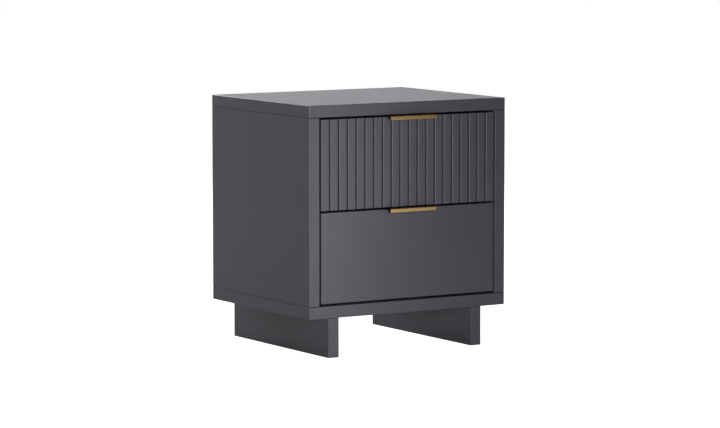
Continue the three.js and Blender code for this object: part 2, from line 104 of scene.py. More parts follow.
class Shader:
    """A material whose nodes are added and joined by short calls."""

    def __init__(self, name):
        self.material = bpy.data.materials.new(name)
        self.material.use_nodes = True
        self.tree = self.material.node_tree
        self.surface = self.tree.nodes["Principled BSDF"]

    def add(self, kind, **settings):
        node = self.tree.nodes.new(kind)
        for key, value in settings.items():
            setattr(node, key, value)
        return node

    def join(self, output, socket):
        self.tree.links.new(output, socket)

    def set(self, **values):
        """Values for the surface's own sockets, with _ for each space in a socket's name."""
        for key, value in values.items():
            self.surface.inputs[key.replace("_", " ")].default_value = value

    def drive(self, **outputs):
        """Joins outputs to the surface's sockets, with _ for each space in a socket's name."""
        for key, output in outputs.items():
            self.join(output, self.surface.inputs[key.replace("_", " ")])

    def stretched(self, scale):
        """Object coordinates scaled along each axis."""
        coordinates = self.add("ShaderNodeTexCoord")
        mapping = self.add("ShaderNodeMapping")
        mapping.inputs["Scale"].default_value = scale
        self.join(coordinates.outputs["Object"], mapping.inputs["Vector"])
        return mapping.outputs["Vector"]

    def noise(self, scale, stretch=(1, 1, 1), detail=3.0, roughness=0.5):
        texture = self.add("ShaderNodeTexNoise")
        texture.inputs["Scale"].default_value = scale
        texture.inputs["Detail"].default_value = detail
        texture.inputs["Roughness"].default_value = roughness
        self.join(self.stretched(stretch), texture.inputs["Vector"])
        return texture.outputs["Fac"]

    def cells(self, scale, stretch=(1, 1, 1)):
        """One random grey for each cell of a crystal pattern."""
        texture = self.add("ShaderNodeTexVoronoi")
        texture.inputs["Scale"].default_value = scale
        self.join(self.stretched(stretch), texture.inputs["Vector"])
        grey = self.add("ShaderNodeSeparateColor")
        self.join(texture.outputs["Color"], grey.inputs["Color"])
        return grey.outputs["Red"]

    def attribute(self, name):
        return self.add("ShaderNodeAttribute", attribute_name=name).outputs["Fac"]

    def calc(self, operation, first, second):
        """A sum, product or other result of two outputs or numbers."""
        node = self.add("ShaderNodeMath", operation=operation)
        for socket, value in zip(node.inputs, (first, second)):
            if isinstance(value, (int, float)):
                socket.default_value = value
            else:
                self.join(value, socket)
        return node.outputs["Value"]

    def ranged(self, value, low, high, start=0.3, end=0.7):
        """A value read between start and end and given back between low and high."""
        node = self.add("ShaderNodeMapRange")
        for key, number in zip(("From Min", "From Max", "To Min", "To Max"), (start, end, low, high)):
            node.inputs[key].default_value = number
        self.join(value, node.inputs["Value"])
        return node.outputs["Result"]

    def ramp(self, value, *stops):
        """A colour ramp through (position, colour) stops."""
        node = self.add("ShaderNodeValToRGB")
        elements = node.color_ramp.elements
        while len(elements) < len(stops):
            elements.new(0.5)
        for element, (position, color) in zip(elements, stops):
            element.position = position
            element.color = (*color, 1)
        self.join(value, node.inputs["Fac"])
        return node.outputs["Color"]

    def mixed(self, factor, first, second):
        """Two colours, outputs or plain, mixed by a factor."""
        node = self.add("ShaderNodeMix", data_type="RGBA")
        self.join(factor, node.inputs[0])
        for socket, color in zip((node.inputs[6], node.inputs[7]), (first, second)):
            if isinstance(color, tuple):
                socket.default_value = (*color, 1)
            else:
                self.join(color, socket)
        return node.outputs[2]

    def bump(self, height, distance, strength=1.0, under=None):
        node = self.add("ShaderNodeBump")
        node.inputs["Strength"].default_value = strength
        node.inputs["Distance"].default_value = distance
        self.join(height, node.inputs["Height"])
        if under:
            self.join(under, node.inputs["Normal"])
        return node.outputs["Normal"]


def lacquer(name, roughness, shade=1.0, peel=0.3):
    """Satin anthracite lacquer: a faint orange peel, a slow drift in tone and gloss, a faint painted highlight
    on the chamfers, and painted shade, near black, in the chamfers where two boards meet.
    """
    s = Shader(name)
    s.set(IOR=1.5)
    # shade scales both tones; above 1 it paints the lacquer paler, as painted light.
    darker, paler = ([part * shade for part in color] for color in LACQUER_TONES)
    body = s.ramp(s.noise(6, detail=4), (0.3, darker), (0.7, paler))
    # Painted highlight: chamfers are mixed up to a quarter of the way towards a paler grey, broken up by noise,
    # standing in for light caught on the eased edges.
    painted_edge_highlight = s.calc("MULTIPLY", s.attribute("edge"), s.ranged(s.noise(35, detail=5), 0, 0.25))
    eased = s.mixed(painted_edge_highlight, body, (0.088, 0.085, 0.096))
    # Painted shade: chamfers at the level where two boards meet turn near black and lose most of their
    # reflection, standing in for the shadow in the seam.
    joint = s.attribute("joint")
    s.drive(Base_Color=s.mixed(joint, eased, (0.010, 0.010, 0.011)))
    drift = s.ranged(s.noise(14, detail=5), roughness - 0.015, roughness + 0.015)
    gloss = s.calc("ADD", drift, s.ranged(s.noise(420), -0.05 * peel, 0.05 * peel))
    s.drive(Roughness=gloss, Specular_IOR_Level=s.ranged(joint, 0.5, 0.05, 0, 1))
    s.drive(Normal=s.bump(s.noise(650, detail=2), 0.02 * MM, peel))
    return s.material


def laminate():
    """Dark drawer board with a linen emboss, and paler banded edges."""
    s = Shader("linen_laminate")
    weave = s.calc("MULTIPLY", s.noise(1, (260, 260, 2600), 2), s.noise(1, (2600, 2600, 260), 2))
    body = s.ramp(weave, (0.16, (0.050, 0.048, 0.054)), (0.36, (0.078, 0.075, 0.083)))
    s.drive(Base_Color=s.mixed(s.attribute("edge"), body, (0.09, 0.087, 0.095)))
    s.drive(Roughness=s.ranged(weave, 0.62, 0.5, 0.16, 0.36))
    s.drive(Normal=s.bump(weave, 0.05 * MM, 0.5))
    return s.material


def painted_hardboard():
    """Thin fibreboard under dark paint: pressed fibres in low relief and a mottled, almost matt face."""
    s = Shader("painted_hardboard")
    fibres = s.noise(1, (900, 900, 240), 5, 0.65)
    mottle = s.noise(45, detail=5, roughness=0.6)
    body = s.ramp(mottle, (0.3, (0.048, 0.046, 0.052)), (0.7, (0.060, 0.058, 0.065)))
    flecked = s.calc("MULTIPLY", s.ranged(fibres, 0, 1, 0.62, 0.8), 0.5)
    s.drive(Base_Color=s.mixed(flecked, body, (0.105, 0.098, 0.095)))
    s.drive(Roughness=s.ranged(fibres, 0.62, 0.8))
    s.drive(Normal=s.bump(fibres, 0.06 * MM, 0.5))
    return s.material


def brushed_brass():
    """Brass brushed lengthways, with fine streaks along X; the plate behind the lip and the ends are painted
    near black as painted shade and a painted dark reflection.
    """
    s = Shader("brushed_brass")
    s.set(Metallic=1.0, Anisotropic=0.5)
    hair = s.noise(1, (9, 3200, 3200), 3, 0.6)
    band = s.noise(1, (5, 620, 620), 2)
    tone = s.ramp(hair, (0.32, (0.54, 0.34, 0.125)), (0.5, (0.71, 0.48, 0.195)),
                  (0.7, (0.84, 0.60, 0.285)))
    brushed = s.mixed(s.ranged(band, 0, 0.5), tone, (0.50, 0.32, 0.12))
    # Painted shade and painted dark reflection: faces marked on the handle turn near black.
    s.drive(Base_Color=s.mixed(s.attribute("painted_shade_and_reflection"), brushed, (0.014, 0.013, 0.012)))
    s.drive(Roughness=s.calc("ADD", s.ranged(band, 0.24, 0.34), s.ranged(hair, 0.06, 0)))
    s.drive(Normal=s.bump(hair, 0.02 * MM, 0.35))
    return s.material


def zinc_plate():
    """Bright zinc on rolled steel: roll lines along Y, a fine crystal grain and a faint blue-yellow stain."""
    s = Shader("zinc_plated_steel")
    s.set(Metallic=1.0)
    rolled = s.noise(1, (900, 12, 900), 3)
    stain = s.ramp(s.noise(60, detail=4), (0.3, (0.52, 0.545, 0.60)), (0.55, (0.60, 0.605, 0.62)),
                   (0.75, (0.62, 0.60, 0.54)))
    s.drive(Base_Color=s.mixed(s.ranged(s.cells(700), 0, 0.25, 0, 1), stain, (0.42, 0.43, 0.45)))
    s.drive(Roughness=s.calc("ADD", s.ranged(rolled, 0.26, 0.38), s.ranged(s.noise(220), -0.03, 0.05)))
    s.drive(Normal=s.bump(rolled, 0.015 * MM, 0.4))
    return s.material


def cast_zinc():
    """Die-cast zinc: a dull sandy skin with darker hollows."""
    s = Shader("cast_zinc")
    s.set(Metallic=1.0)
    sand = s.noise(1400, detail=4, roughness=0.6)
    s.drive(Base_Color=s.ramp(s.noise(260, detail=5), (0.3, (0.30, 0.305, 0.31)), (0.7, (0.46, 0.465, 0.47))))
    s.drive(Roughness=s.ranged(sand, 0.42, 0.62))
    s.drive(Normal=s.bump(sand, 0.05 * MM, 0.6))
    return s.material


def dark_strip():
    """Blackened steel strip, oiled: streaky along Y and worn brighter in specks."""
    s = Shader("blackened_steel_strip")
    s.set(Metallic=0.9)
    streak = s.noise(1, (700, 30, 700), 4)
    wear = s.ranged(s.noise(480, detail=5), 0, 0.7, 0.6, 0.78)
    oiled = s.ramp(streak, (0.3, (0.028, 0.028, 0.030)), (0.7, (0.055, 0.055, 0.058)))
    s.drive(Base_Color=s.mixed(wear, oiled, (0.20, 0.20, 0.21)))
    s.drive(Roughness=s.ranged(streak, 0.34, 0.5))
    s.drive(Normal=s.bump(streak, 0.01 * MM, 0.4))
    return s.material


def polished_steel():
    """Ground bearing steel with a film of grease."""
    s = Shader("bearing_steel")
    s.set(Metallic=1.0)
    film = s.noise(700, detail=4)
    s.drive(Base_Color=s.ramp(film, (0.35, (0.50, 0.49, 0.46)), (0.7, (0.66, 0.665, 0.67))))
    s.drive(Roughness=s.ranged(film, 0.10, 0.24))
    return s.material


def black_plastic():
    """Moulded black plastic with a spark-eroded grain."""
    s = Shader("moulded_plastic")
    grain = s.noise(1800, detail=2)
    cloud = s.noise(120, detail=3)
    s.drive(Base_Color=s.ramp(cloud, (0.3, (0.014, 0.014, 0.015)), (0.7, (0.022, 0.022, 0.023))))
    s.drive(Roughness=s.ranged(grain, 0.42, 0.58))
    s.drive(Normal=s.bump(grain, 0.03 * MM, 0.5))
    return s.material


FINISHES = {
    "lacquered_board": lacquer("anthracite_lacquer", 0.40),
    # Lower drawer front: a glossier lacquer whose tones are painted 5% paler (shade 1.05), as painted light for
    # the brighter light the front catches.
    "glossier_lacquer": lacquer("glossier_anthracite_lacquer_painted_paler", 0.30, 1.05, 0.02),
    "drawer_board": laminate(),
    "hardboard": painted_hardboard(),
    "brass": brushed_brass(),
    "zinc_steel": zinc_plate(),
    "cast_zinc": cast_zinc(),
    "ball_cage": dark_strip(),
    "polished_steel": polished_steel(),
    "black_plastic": black_plastic(),
}


# ---- Shapes --------------------------------------------------------------------------------------


def new_piece(name, mesh, finish, body, *stands_for):
    """Puts a mesh in the scene as a piece that rides on a body and may stand for CAD nodes."""
    mesh.name = name
    piece = bpy.data.objects.new(name, mesh)
    bpy.context.collection.objects.link(piece)
    mesh.materials.clear()
    mesh.materials.append(FINISHES[finish])
    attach(piece, body)
    if stands_for:
        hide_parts(*stands_for)
    return piece


def mesh_from(build):
    """A mesh made by a function that fills a bmesh, its faces turned outwards."""
    bm = bmesh.new()
    build(bm)
    bmesh.ops.recalc_face_normals(bm, faces=bm.faces)
    mesh = bpy.data.meshes.new("shape")
    bm.to_mesh(mesh)
    bm.free()
    return mesh


def smooth(mesh, angle=30):
    """Smooth shading that stays sharp at corners over an angle in degrees."""
    mesh.polygons.foreach_set("use_smooth", [True] * len(mesh.polygons))
    mesh.set_sharp_from_angle(angle=math.radians(angle))
    return mesh


def copies(mesh, *places):
    """One mesh with the same shape at every place, each place a matrix."""
    def build(bm):
        for place in places:
            copy = mesh.copy()
            copy.transform(place)
            bm.from_mesh(copy)
            bpy.data.meshes.remove(copy)
    return mesh_from(build)


def merged(*meshes):
    """Several meshes as one."""
    def build(bm):
        for mesh in meshes:
            bm.from_mesh(mesh)
    return mesh_from(build)


def combined(operation, first, second):
    """The UNION of two closed meshes, or the DIFFERENCE that is left when the second is taken out."""
    things = [bpy.data.objects.new("combined", mesh) for mesh in (first, second)]
    for thing in things:
        bpy.context.collection.objects.link(thing)
    modifier = things[0].modifiers.new("combined", "BOOLEAN")
    modifier.operation = operation
    modifier.solver = "EXACT"
    modifier.object = things[1]
    graph = bpy.context.evaluated_depsgraph_get()
    result = bpy.data.meshes.new_from_object(things[0].evaluated_get(graph))
    for thing in things:
        bpy.data.objects.remove(thing)
    return result


def carved(mesh, *cutters):
    """The mesh with every cutter mesh taken out of it."""
    return combined("DIFFERENCE", mesh, merged(*cutters))


def rounded(corners, steps=5, closed=True):
    """A path of 2-D points through (a, b, radius) corners, each rounded to its radius."""
    places = [Vector(corner[:2]) for corner in corners]
    path = []
    for n, here in enumerate(places):
        radius = corners[n][2]
        if radius == 0 or not closed and n in (0, len(places) - 1):
            path.append(here)
            continue
        before = (places[n - 1] - here).normalized()
        after = (places[(n + 1) % len(places)] - here).normalized()
        half = before.angle(after) / 2
        middle = here + (before + after).normalized() * radius / math.sin(half)
        start = here + before * radius / math.tan(half) - middle
        end = here + after * radius / math.tan(half) - middle
        path += [middle + start.slerp(end, step / steps).normalized() * radius for step in range(steps + 1)]
    return path


def bent_sheet(path, thickness):
    """The outline of a sheet whose middle follows an open path of 2-D points."""
    one_side, other_side = [], []
    for n, here in enumerate(path):
        along = (path[min(n + 1, len(path) - 1)] - path[max(n - 1, 0)]).normalized()
        across = Vector((-along.y, along.x)) * thickness / 2
        one_side.append(here + across)
        other_side.append(here - across)
    return one_side + other_side[::-1]


def prism(outline, start, end, place):
    """A closed bar with a 2-D outline. place(a, b, along) gives a point of it in the scene."""
    def build(bm):
        rings = [[bm.verts.new(place(a, b, along)) for a, b in outline] for along in (start, end)]
        for n in range(len(outline)):
            bm.faces.new((rings[0][n - 1], rings[0][n], rings[1][n], rings[1][n - 1]))
        for ring in rings:
            bm.faces.new(ring)
    return mesh_from(build)


def turned(profile, facets=24):
    """A solid turned about Z from (radius, height) points that start and end on the axis."""
    def build(bm):
        turns = [2 * math.pi * n / facets for n in range(facets)]
        rings = []
        for r, h in profile[1:-1]:
            rings.append([bm.verts.new((r * math.cos(t), r * math.sin(t), h)) for t in turns])
        for (_, height), ring in ((profile[0], rings[0]), (profile[-1], rings[-1])):
            tip = bm.verts.new((0, 0, height))
            for n in range(facets):
                bm.faces.new((tip, ring[n - 1], ring[n]))
        for low, high in zip(rings, rings[1:]):
            for n in range(facets):
                bm.faces.new((low[n - 1], low[n], high[n], high[n - 1]))
    return mesh_from(build)


def aimed(point, direction):
    """The matrix that carries the origin to a point and +Z to a direction."""
    return Matrix.Translation(point) @ Vector(direction).to_track_quat("Z", "Y").to_matrix().to_4x4()


def slot_outline(a, b, half_length, half_width, radius=None):
    """A rectangle round a middle, with its corners rounded, or with round ends."""
    radius = min(half_length, half_width) * 0.999 if radius is None else radius
    signs = ((-1, -1), (1, -1), (1, 1), (-1, 1))
    return rounded([(a + s * half_length, b + t * half_width, radius) for s, t in signs])


def across_x(y, z, x):
    """Places a section in Y and Z that runs along X."""
    return Vector((x, y, z))


def up_z(x, y, z):
    """Places an outline in X and Y that runs along Z."""
    return Vector((x, y, z))


# ---- Boards --------------------------------------------------------------------------------------


def mark_edges(bm, joint_levels=()):
    """Marks a board's chamfers for a faint painted highlight, and those where two boards meet for painted
    shade.
    """
    edge = bm.faces.layers.float.new("edge")
    joint = bm.faces.layers.float.new("joint")
    for face in bm.faces:
        slanted = max(abs(part) for part in face.normal) < 0.99
        level = face.calc_center_median().z
        meeting = any(abs(level - place) < JOINT_TOLERANCE for place in joint_levels)
        # Chamfers at the level where boards meet get painted shade; the other chamfers get a painted highlight.
        face[edge] = 1.0 if slanted and not meeting else 0.0
        face[joint] = 1.0 if slanted and meeting else 0.0


def ease(bm, width, segments):
    """Rounds every sharp edge."""
    sharp = [e for e in bm.edges if e.is_manifold and e.calc_face_angle() > math.radians(30)]
    bmesh.ops.bevel(bm, geom=sharp, offset=width, segments=segments, profile=0.5, affect="EDGES",
                    clamp_overlap=True)
    for face in bm.faces:
        face.smooth = True


def flatten_shading(piece):
    """Keeps large faces flat beside their rounded edges."""
    normals = piece.modifiers.new("flat_faces", "WEIGHTED_NORMAL")
    normals.keep_sharp = False
    normals.weight = 100
    return piece


def add_eased(node, finish, body, width=0.3 * MM, segments=2, joint_levels=()):
    """A finished copy of a CAD node, with its edges rounded, that stands for it."""
    source = frame["nodes"][node].data
    mesh = bpy.data.meshes.new(node)
    mesh.from_pydata([v.co for v in source.vertices], [], [p.vertices[:] for p in source.polygons])
    bm = bmesh.new()
    bm.from_mesh(mesh)
    bmesh.ops.remove_doubles(bm, verts=bm.verts, dist=0.001 * MM)
    bmesh.ops.dissolve_limit(bm, angle_limit=math.radians(1), verts=bm.verts, edges=bm.edges)
    ease(bm, width, segments)
    mark_edges(bm, joint_levels)
    bm.to_mesh(mesh)
    bm.free()
    return flatten_shading(new_piece(f"{node}_finished", mesh, finish, body, node))


# ---- Fasteners -----------------------------------------------------------------------------------


def threaded(tip, root, crest, pitch, bottom, top):
    """The profile of a ringed shank between two heights, with a point below it."""
    profile = [(0, bottom - tip), (root * 0.5, bottom - tip / 2)]
    for n in range(int((top - bottom) / pitch)):
        height = bottom + n * pitch
        profile += [(root, height), (crest, height + pitch * 0.4), (root, height + pitch * 0.8)]
    return profile + [(root, top)]


def cross_cutter(half_length, half_width, depth, above=1 * MM):
    """A cross that cuts a recess into a face at height 0."""
    bars = []
    for long, short in ((half_length, half_width), (half_width, half_length)):
        corners = ((-long, -short), (long, -short), (long, short), (-long, short))
        bars.append(prism(corners, -depth, above, up_z))
    return combined("UNION", *bars)


def cross_screw(length, radius, head_radius, head_height):
    """A wood screw along Z, with the underside of its domed head at height 0 and a cross recess."""
    shank = threaded(1.6 * radius, 0.72 * radius, radius, 0.85 * radius, -length + 1.6 * radius, 0)
    head = [(head_radius, 0), (head_radius, 0.2 * head_height), (0.9 * head_radius, 0.62 * head_height),
            (0.66 * head_radius, 0.9 * head_height), (0.35 * head_radius, head_height), (0, head_height)]
    recess = cross_cutter(0.52 * head_radius, 0.13 * head_radius, 1.1 * head_height)
    recess.transform(Matrix.Translation((0, 0, head_height)))
    return smooth(carved(turned(shank + head), recess))


def hexagon_screw(length, radius, head_radius, head_height, socket_radius):
    """A connector screw along Z, with the top of its flat head at height 0 and a hexagonal socket."""
    ease = 0.4 * MM
    shank = threaded(1.2 * radius, 0.82 * radius, radius, 1.25 * MM, -length + 1.2 * radius, -0.4 * length)
    head = [(0.9 * radius, -head_height), (head_radius, -head_height), (head_radius, -ease),
            (head_radius - ease, 0), (0, 0)]
    turns = [math.pi * n / 3 for n in range(6)]
    corners = [Vector((math.cos(t), math.sin(t))) * socket_radius for t in turns]
    socket = prism(corners, -head_height + 1 * MM, 1 * MM, up_z)
    return smooth(carved(turned(shank + head), socket))


def cam_drum(depth):
    """A cast cam lock along Z: a rimmed drum with its face at height 0, a cross recess and a raised arrow."""
    radius, rim, dish = 7.1 * MM, 1.1 * MM, 0.5 * MM
    ease = 0.3 * MM
    profile = [(0, -depth), (radius - ease, -depth), (radius, -depth + ease), (radius, -ease),
               (radius - ease, 0), (radius - rim, 0), (radius - rim - dish, -dish), (0, -dish)]
    drum = carved(turned(profile, 40), cross_cutter(5.1 * MM, 0.95 * MM, 2.6 * MM))
    arrow = [Vector(corner) * MM for corner in ((2.2, 4.6), (2.6, 2.2), (4.6, 2.6))]
    return smooth(merged(drum, prism(arrow, -dish - 0.1 * MM, -0.1 * MM, up_z)))


def middle_of(node):
    low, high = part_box(node)
    return (low + high) / 2


def add_cam(node, body, facing):
    """A cam lock in the place of its CAD node, with its face turned to -X or +X."""
    low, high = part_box(node)
    face = middle_of(node)
    face.x = high.x if facing > 0 else low.x
    drum = copies(cam_drum(high.x - low.x), aimed(face, (facing, 0, 0)))
    new_piece(f"{node}_finished", smooth(drum), "cast_zinc", body, node)


def add_cabinet_fasteners():
    for side_name, side in SIDES.items():
        for place in ("lower_front", "lower_rear", "upper_front", "upper_rear"):
            add_cam(f"{side_name}_cam_lock_{place}", "cabinet", -side)
        for place in ("front", "rear"):
            node = f"{side_name}_leg_screw_{place}"
            low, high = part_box(node)
            top = middle_of(node)
            top.z = high.z
            screw = hexagon_screw(high.z - low.z, 3.2 * MM, head_radius=4.8 * MM, head_height=3 * MM,
                                  socket_radius=2.3 * MM)
            screw.transform(Matrix.Translation(top))
            new_piece(f"{node}_finished", screw, "zinc_steel", "cabinet", node)
    add_back_screws()


def add_back_screws():
    """Small screws that hold the back panel in its rebate, their heads all but flush."""
    inset, pitch = 4 * MM, 90 * MM
    low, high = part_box("back_panel")
    places = []
    for a0, a1, b0, b1, put in (
        (low.x, high.x, low.z, high.z, lambda a, b: (a, high.y, b)),
        (low.z, high.z, low.x, high.x, lambda a, b: (b, high.y, a)),
    ):
        count = round((a1 - a0) / pitch)
        for n in range(count):
            along = a0 + (a1 - a0) * (n + 0.5) / count
            places += [put(along, b0 + inset), put(along, b1 - inset)]
    screw = cross_screw(14 * MM, 1.4 * MM, head_radius=2.7 * MM, head_height=0.5 * MM)
    screws = copies(screw, *(aimed(place, (0, 1, 0)) for place in places))
    new_piece("back_panel_screws", smooth(screws), "zinc_steel", "cabinet")


# ---- Drawers -------------------------------------------------------------------------------------


def handle_outline(low, high):
    """The pull's section in Y and Z: a square lip, a flange over the front's top edge and a tab behind."""
    round_corner, fillet = 1 * MM, 1.5 * MM
    lip_foot, lip_rear = high.z - LIP_HEIGHT, low.y + LIP_DEPTH
    under, tab_front = high.z - HANDLE_PLATE, high.y - HANDLE_PLATE
    return rounded([
        (low.y, lip_foot, round_corner),
        (lip_rear, lip_foot, round_corner),
        (lip_rear, under, fillet),
        (tab_front, under, 0),
        (tab_front, low.z, 0),
        (high.y, low.z, 0),
        (high.y, high.z, round_corner),
        (low.y, high.z, round_corner),
    ])


def add_handle(drawer):
    node = f"{drawer}_handle"
    low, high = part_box(node)
    bar = prism(handle_outline(low, high), low.x, high.x, across_x)
    holes = []
    for side_name in SIDES:
        screw = f"{node}_screw_{side_name}"
        place = middle_of(screw)
        outline = slot_outline(place.x, place.z, HANDLE_HOLE_RADIUS, HANDLE_HOLE_RADIUS)
        holes.append(prism(outline, high.y - 4 * MM, high.y + 1 * MM, lambda x, z, y: Vector((x, y, z))))
        shape = cross_screw(16 * MM, 1.5 * MM, head_radius=3.4 * MM, head_height=2.2 * MM)
        placed = smooth(copies(shape, aimed((place.x, high.y + 0.2 * MM, place.z), (0, 1, 0))))
        new_piece(f"{screw}_finished", placed, "zinc_steel", f"{drawer}_drawer", screw)
    mesh = carved(bar, *holes)
    bm = bmesh.new()
    bm.from_mesh(mesh)
    bmesh.ops.dissolve_limit(bm, angle_limit=math.radians(1), verts=bm.verts, edges=bm.edges)
    ease(bm, 0.2 * MM, 3)
    lip_rear = low.y + LIP_DEPTH
    bmesh.ops.bisect_plane(bm, geom=bm.verts[:] + bm.edges[:] + bm.faces[:], plane_co=(0, lip_rear, 0),
                           plane_no=(0, 1, 0))
    # The plate, flange and tab behind the lip get painted shade, and the end faces a painted dark reflection,
    # both near black.
    painted_shade_and_reflection = bm.faces.layers.float.new("painted_shade_and_reflection")
    for face in bm.faces:
        behind_lip = face.calc_center_median().y > lip_rear
        face[painted_shade_and_reflection] = 1.0 if behind_lip or abs(face.normal.x) > 0.9 else 0.0
    bm.to_mesh(mesh)
    bm.free()
    flatten_shading(new_piece(f"{node}_finished", mesh, "brass", f"{drawer}_drawer", node))


def add_drawer(drawer):
    body = f"{drawer}_drawer"
    # The lower front gets the glossier lacquer, painted 5% paler as painted light.
    front_finish = "glossier_lacquer" if drawer == "lower" else "lacquered_board"
    add_eased(f"{drawer}_drawer_front", front_finish, body, 0.2 * MM)
    for part in ("left_side", "right_side", "back"):
        add_eased(f"{drawer}_drawer_{part}", "drawer_board", body, 0.4 * MM)
    add_eased(f"{drawer}_drawer_bottom", "hardboard", body, 0.2 * MM, 1)
    add_handle(drawer)
    back_low, back_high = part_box(f"{drawer}_drawer_back")
    screw = cross_screw(40 * MM, 2.2 * MM, head_radius=3.5 * MM, head_height=0.35 * MM)
    places = []
    for side_name, side in SIDES.items():
        add_cam(f"{drawer}_drawer_{side_name}_cam", body, side)
        low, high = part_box(f"{drawer}_drawer_{side_name}_side")
        face_x = high.x if side > 0 else low.x
        for share in (0.1, 0.85):
            z = back_low.z + (back_high.z - back_low.z) * share
            places.append(aimed((face_x, middle_of(f"{drawer}_drawer_back").y, z), (side, 0, 0)))
    new_piece(f"{drawer}_drawer_back_screws", smooth(copies(screw, *places)), "zinc_steel", body)


# ---- Slides --------------------------------------------------------------------------------------


class Section:
    """A slide member's section: u runs from its side nearer the cabinet, v from its middle height."""

    def __init__(self, node, side):
        self.node, self.side = node, side
        self.low, self.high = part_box(node)
        self.near = max(abs(self.low.x), abs(self.high.x))
        self.depth = self.high.x - self.low.x
        self.half = (self.high.z - self.low.z) / 2
        self.level = (self.high.z + self.low.z) / 2

    def place(self, u, v, y):
        return Vector((self.side * (self.near - u), y, self.level + v))

    def sheet(self, path, thickness, start=None, end=None):
        """A bent sheet that follows a path in the section, carried along the member."""
        outline = bent_sheet(rounded(path, closed=False), thickness)
        return prism(outline, start or self.low.y, end or self.high.y, self.place)

    def window(self, distance, half_length, half_height, level=0.0, radius=None):
        """A cutter through the web, centred at a distance from the front end."""
        outline = slot_outline(self.low.y + distance, level, half_length, half_height, radius)
        reach = self.depth + 1 * MM
        return prism(outline, -1 * MM, reach, lambda y, v, u: self.place(u, v, y))

    def head_places(self, distances, u, towards):
        """Matrices for screw heads on the web, that face the middle of the cabinet (1) or its side (-1)."""
        facing = (-self.side * towards, 0, 0)
        return [aimed(self.place(u, 0, self.low.y + d), facing) for d in distances]


def channel_path(depth, half, bend, sheet=SHEET):
    """The middle line of a channel with rounded flanges whose rims turn in through a quarter circle."""
    web, rim, flange = sheet / 2, depth - sheet / 2, half - sheet / 2
    corners = [(rim, flange - bend, 0), (rim, flange, bend * 0.999), (web, flange, bend)]
    return corners + [(a, -b, radius) for a, b, radius in reversed(corners)]


def add_cabinet_member(drawer, side_name, side):
    s = Section(f"{drawer}_{side_name}_cabinet_slide", side)
    holes = SCREW_HOLES["cabinet"]
    shell = s.sheet(channel_path(s.depth, s.half, FLANGE_BEND), SHEET)
    cutters = [s.window(d, HOLE_RADIUS, HOLE_RADIUS) for d in holes]
    cutters += [s.window(d + 24 * MM, SLOT_HALF_LENGTH, SLOT_HALF_HEIGHT) for d in holes]
    cutters += [s.window(d, 9 * MM, 5 * MM, radius=1.5 * MM) for d in (98 * MM, 236 * MM)]
    mesh = smooth(carved(shell, *cutters))
    new_piece(f"{s.node}_finished", mesh, "zinc_steel", "cabinet", s.node)
    screw = cross_screw(15 * MM, SLIDE_SCREW_RADIUS, SLIDE_SCREW_HEAD, head_height=0.5 * MM)
    screws = smooth(copies(screw, *s.head_places(holes, SHEET, 1)))
    new_piece(f"{s.node}_screws", screws, "zinc_steel", "cabinet")
    add_bumper(s)


def add_bumper(s):
    """The plastic block across the rear end of a cabinet member."""
    foot, nose, reach = 11 * MM, 9 * MM, 7.5 * MM
    outline = rounded([(SHEET, -foot, 1 * MM), (reach, -nose, 2 * MM),
                       (reach, nose, 2 * MM), (SHEET, foot, 1 * MM)])
    bumper = prism(outline, s.high.y - 5 * MM, s.high.y - 0.3 * MM, s.place)
    new_piece(f"{s.node}_bumper", smooth(bumper), "black_plastic", "cabinet")


def add_middle_member(drawer, side_name, side):
    s = Section(f"{drawer}_{side_name}_middle_slide", side)
    shell = s.sheet(channel_path(s.depth, s.half, 1.5 * MM), SHEET)
    cutters = [s.window(d, HOLE_RADIUS, HOLE_RADIUS) for d in MIDDLE_HOLES]
    cutters += [s.window(d, 8 * MM, 6 * MM, radius=2 * MM) for d in (25 * MM, 155 * MM, 300 * MM)]
    mesh = smooth(carved(shell, *cutters))
    new_piece(f"{s.node}_finished", mesh, "zinc_steel", f"{drawer}_middle_slides", s.node)


def add_drawer_member(drawer, side_name, side):
    s = Section(f"{drawer}_{side_name}_drawer_slide", side)
    body = f"{drawer}_drawer"
    holes = SCREW_HOLES["drawer"]
    web, flange = s.depth - SHEET / 2, s.half - SHEET / 2
    path = [(0, flange, 0), (web, flange, FLANGE_BEND), (web, -flange, FLANGE_BEND), (0, -flange, 0)]
    cutters = [s.window(d, HOLE_RADIUS, HOLE_RADIUS) for d in holes]
    cutters += [s.window(d + 22 * MM, SLOT_HALF_LENGTH, SLOT_HALF_HEIGHT) for d in holes]
    mesh = smooth(carved(s.sheet(path, SHEET), *cutters))
    new_piece(f"{s.node}_finished", mesh, "zinc_steel", body, s.node)
    screw = cross_screw(11 * MM, SLIDE_SCREW_RADIUS, SLIDE_SCREW_HEAD, head_height=0.9 * MM)
    screws = smooth(copies(screw, *s.head_places(holes, s.depth - SHEET, -1)))
    new_piece(f"{s.node}_screws", screws, "zinc_steel", body)
    add_release_lever(s, body)


def add_release_lever(s, body):
    """The plastic lever, bowed along its length, that frees the drawer from its slide."""
    inside = s.depth - SHEET
    start, length = s.low.y + 72 * MM, 46 * MM
    bowed, gap, thickness, half_height, steps = 2.2 * MM, 0.2 * MM, 1.4 * MM, 4 * MM, 8
    there = []
    for n in range(steps + 1):
        bow = bowed * math.sin(math.pi * n / steps) + gap
        there.append((start + length * n / steps, inside - bow))
    back = [(y, u - thickness) for y, u in reversed(there)]
    lever = prism(there + back, -half_height, half_height, lambda y, u, v: s.place(u, v, y))
    new_piece(f"{s.node}_release_lever", smooth(lever), "black_plastic", body)


